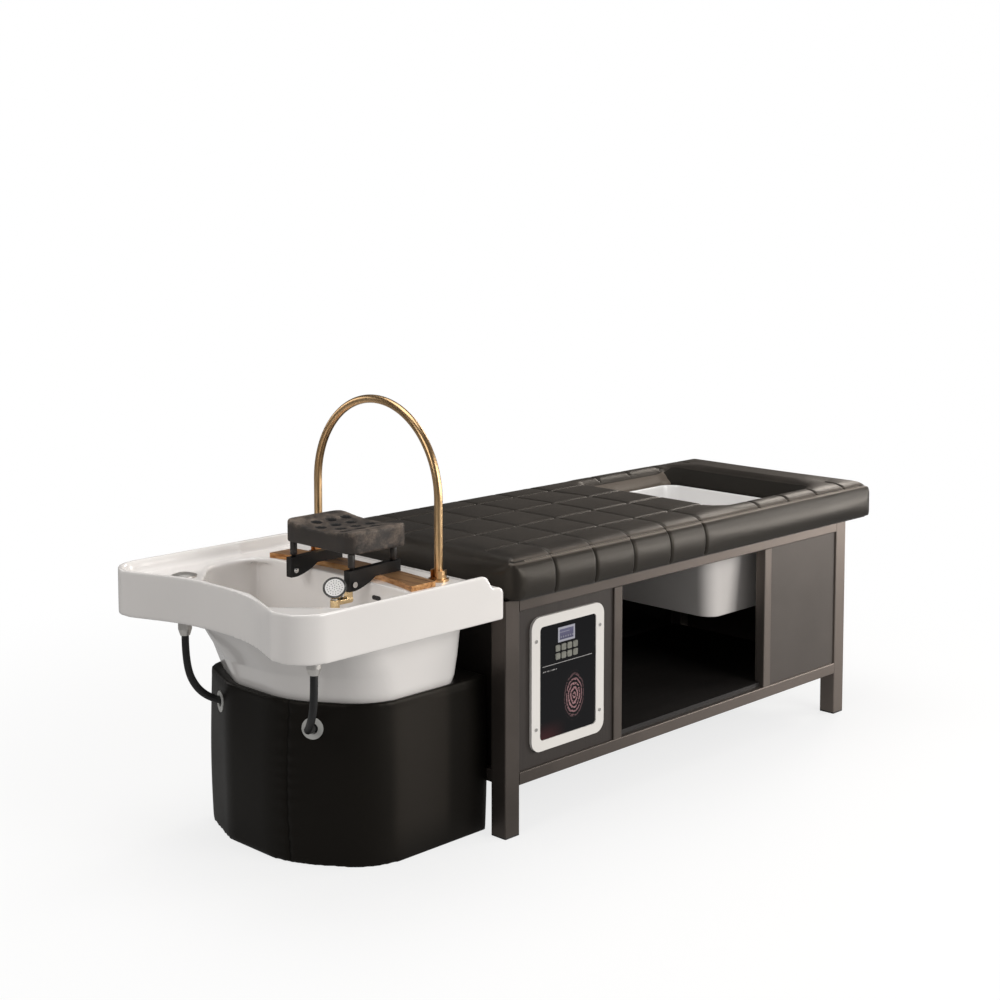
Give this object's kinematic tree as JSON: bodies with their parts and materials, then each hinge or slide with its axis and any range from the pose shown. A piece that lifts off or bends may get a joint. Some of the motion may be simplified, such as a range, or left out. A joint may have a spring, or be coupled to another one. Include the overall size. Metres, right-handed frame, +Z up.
{
  "type": "hair washing bed",
  "caption": "Hair washing bed: steel frame, quilted mattress with foot basin, wash basin with arch fountain and headrest, control panel.",
  "frame": {"origin": "on the floor, on the bed's centreline, halfway along the whole length", "axes": "+Z up, +X towards the foot end, -X the wash basin end, -Y the front with the control panel"},
  "size_m": [2.076, 0.686, 0.9945],
  "materials": {
    "frame": "satin",
    "rubber_black": "matte",
    "cover_dark": "satin",
    "board": "matte",
    "leather_black": "satin",
    "basin_white": "gloss",
    "nickel": "polished",
    "brass": "polished",
    "bar_copper": "satin",
    "panel_light": "gloss",
    "panel_glass": "gloss",
    "display": "gloss",
    "keys": "matte",
    "box_grey": "matte",
    "circuit": "matte",
    "tank": "matte",
    "rest_black": "satin",
    "rest_pad": "matte",
    "shower_chrome": "polished"
  },
  "bodies": {
    "bed": {"leg_front_head": "frame", "leg_back_head": "frame", "leg_front_foot": "frame", "leg_back_foot": "frame", "rail_front_upper": "frame", "rail_back_upper": "frame", "rail_front_lower": "frame", "rail_back_lower": "frame", "rail_head_end_upper": "frame", "rail_foot_end_upper": "frame", "rail_head_end_lower": "frame", "rail_foot_end_lower": "frame", "post_left": "frame", "post_right": "frame", "tub_rails": "frame", "leg_foot_caps": "rubber_black", "hose_front": "rubber_black", "hose_back": "rubber_black", "cover_front_left": "cover_dark", "cover_back": "cover_dark", "cover_head_end": "cover_dark", "cover_foot_end": "cover_dark", "cover_front_right": "cover_dark", "shelf_board": "board", "bed_board": "board", "mattress": "leather_black", "skirt": "leather_black", "wash_basin": "basin_white", "foot_basin": "basin_white", "basin_waste": "nickel", "hose_fittings": "nickel", "headrest_bolts": "nickel", "panel_screws": "nickel", "arch_feet": "brass", "shower_connector": "brass", "waterfall_bar": "bar_copper", "panel_bezel": "panel_light", "panel_glass": "panel_glass", "display": "display", "control_box": "box_grey", "skirt_grommets": "box_grey", "circulation_pump": "box_grey", "circuit_board": "circuit", "water_tank": "tank", "headrest_arm_front": "rest_black", "headrest_arm_back": "rest_black"},
    "arch": {"arch_tube": "brass"},
    "headrest_rest": {"headrest_pad": "rest_pad", "headrest_posts": "rest_black"},
    "shower_head": {"hand_shower": "shower_chrome"},
    "strainer": {"basin_strainer": "nickel"},
    "tub_plug": {"foot_basin_plug": "rubber_black"},
    "key_1_cap": {"key_1": "keys"},
    "key_2_cap": {"key_2": "keys"},
    "key_3_cap": {"key_3": "keys"},
    "key_4_cap": {"key_4": "keys"},
    "key_5_cap": {"key_5": "keys"},
    "key_6_cap": {"key_6": "keys"},
    "key_7_cap": {"key_7": "keys"},
    "key_8_cap": {"key_8": "keys"}
  },
  "joints": [
    {"name": "arch_swing", "type": "hinge", "parent": "bed", "child": "arch", "pos_m": [-0.538, 0, 0.612], "axis": [0, 1, 0], "range_deg": [-60, 20]},
    {"name": "headrest_lift", "type": "slide", "parent": "bed", "child": "headrest_rest", "axis": [0, 0, 1], "range_m": [0, 0.02]},
    {"name": "hand_shower_lift", "type": "slide", "parent": "bed", "child": "shower_head", "axis": [0, 0, 1], "range_m": [0, 0.03]},
    {"name": "strainer_lift", "type": "slide", "parent": "bed", "child": "strainer", "axis": [0, 0, 1], "range_m": [0, 0.06]},
    {"name": "tub_plug_lift", "type": "slide", "parent": "bed", "child": "tub_plug", "axis": [0, 0, 1], "range_m": [0, 0.04]},
    {"name": "key_1_press", "type": "slide", "parent": "bed", "child": "key_1_cap", "axis": [0, 1, 0], "range_m": [0, 0.001], "stiffness_N_per_m": 300},
    {"name": "key_2_press", "type": "slide", "parent": "bed", "child": "key_2_cap", "axis": [0, 1, 0], "range_m": [0, 0.001], "stiffness_N_per_m": 300},
    {"name": "key_3_press", "type": "slide", "parent": "bed", "child": "key_3_cap", "axis": [0, 1, 0], "range_m": [0, 0.001], "stiffness_N_per_m": 300},
    {"name": "key_4_press", "type": "slide", "parent": "bed", "child": "key_4_cap", "axis": [0, 1, 0], "range_m": [0, 0.001], "stiffness_N_per_m": 300},
    {"name": "key_5_press", "type": "slide", "parent": "bed", "child": "key_5_cap", "axis": [0, 1, 0], "range_m": [0, 0.001], "stiffness_N_per_m": 300},
    {"name": "key_6_press", "type": "slide", "parent": "bed", "child": "key_6_cap", "axis": [0, 1, 0], "range_m": [0, 0.001], "stiffness_N_per_m": 300},
    {"name": "key_7_press", "type": "slide", "parent": "bed", "child": "key_7_cap", "axis": [0, 1, 0], "range_m": [0, 0.001], "stiffness_N_per_m": 300},
    {"name": "key_8_press", "type": "slide", "parent": "bed", "child": "key_8_cap", "axis": [0, 1, 0], "range_m": [0, 0.001], "stiffness_N_per_m": 300}
  ]
}
